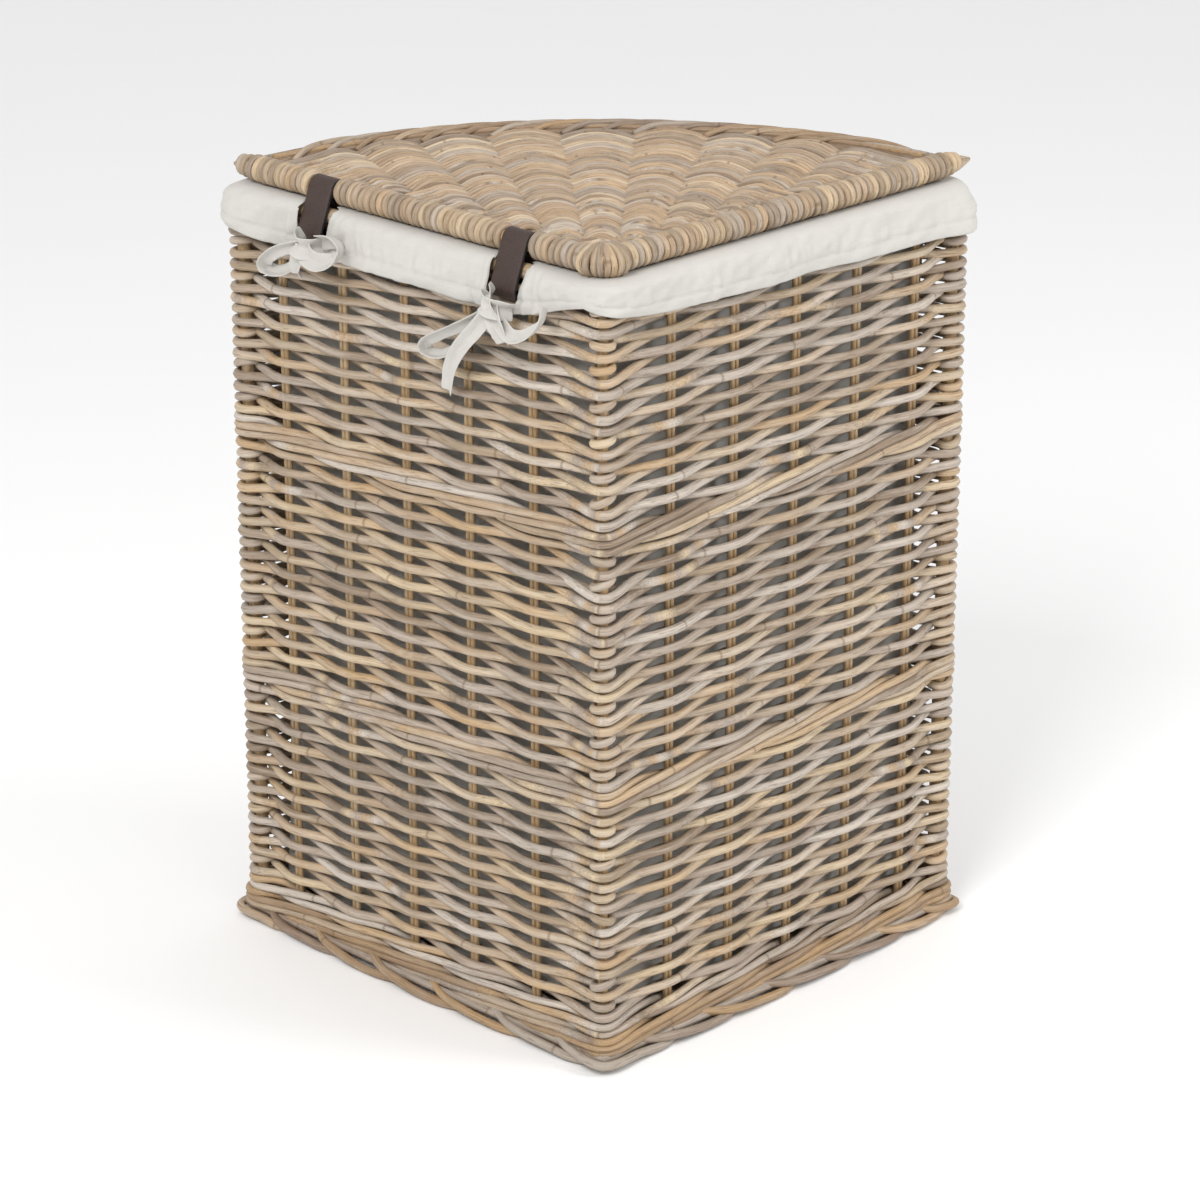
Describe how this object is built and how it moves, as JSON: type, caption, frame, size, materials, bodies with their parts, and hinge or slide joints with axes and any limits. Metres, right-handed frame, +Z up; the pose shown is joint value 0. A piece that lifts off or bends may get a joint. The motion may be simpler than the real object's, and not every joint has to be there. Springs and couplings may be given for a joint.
{
  "type": "laundry basket",
  "caption": "Quarter-circle corner laundry basket woven from rattan, with a cotton liner turned over the rim and a woven lid that swings on leather loops.",
  "frame": {"origin": "middle of the bounding box at floor level", "axes": "+Z up, +Y from the upright 90 degree corner towards the curved wall, +X to the right when facing that corner; the lid's hinge is on the left straight wall"},
  "size_m": [0.5698, 0.4102, 0.6352],
  "materials": {
    "weave": "grey-washed rattan rods in pairing weave, satin skin",
    "wale": "grey-washed rattan rods in dense waling, satin skin",
    "winding": "split rattan wound side by side",
    "border": "brown rattan rods laid as a border",
    "pole": "golden rattan pole, natural skin",
    "cotton": "unbleached plain-weave cotton",
    "leather": "dark brown strap leather, fine grain"
  },
  "bodies": {
    "basket": {"base_frame": "pole", "base_bar_1": "pole", "base_bar_2": "pole", "base_bar_3": "pole", "base_weave": "weave", "corner_post_front": "pole", "corner_post_left": "pole", "corner_post_right": "pole", "stake_left_1": "pole", "stake_left_2": "pole", "stake_left_3": "pole", "stake_left_4": "pole", "stake_left_5": "pole", "stake_right_1": "pole", "stake_right_2": "pole", "stake_right_3": "pole", "stake_right_4": "pole", "stake_right_5": "pole", "stake_arc_1": "pole", "stake_arc_2": "pole", "stake_arc_3": "pole", "stake_arc_4": "pole", "stake_arc_5": "pole", "stake_arc_6": "pole", "stake_arc_7": "pole", "stake_arc_8": "pole", "stake_arc_9": "pole", "foot_border": "border", "foot_wale": "wale", "weave_lower": "weave", "wale_lower": "wale", "weave_middle": "weave", "wale_upper": "wale", "weave_upper": "weave", "top_frame": "pole", "liner": "cotton", "strap_front": "leather", "strap_rear": "leather", "tie_front": "cotton", "tie_rear": "cotton"},
    "lid": {"lid_hinge_pole": "pole", "lid_right_pole": "pole", "lid_arc_rod": "pole", "lid_rib_1": "pole", "lid_rib_2": "pole", "lid_rib_3": "pole", "lid_rib_4": "pole", "lid_rib_5": "pole", "lid_rib_6": "pole", "lid_rib_7": "pole", "lid_rib_8": "pole", "lid_rib_9": "pole", "lid_weave": "weave", "lid_wrap_left_front": "winding", "lid_wrap_left_middle": "winding", "lid_wrap_left_rear": "winding", "lid_wrap_right": "winding", "lid_wrap_corner": "winding", "lid_border": "border"}
  },
  "joints": [
    {"name": "lid_hinge", "type": "hinge", "parent": "basket", "child": "lid", "pos_m": [-0.13117, -0.05123, 0.6247], "axis": [0.7071, -0.7071, 0], "range_deg": [0, 150]}
  ]
}
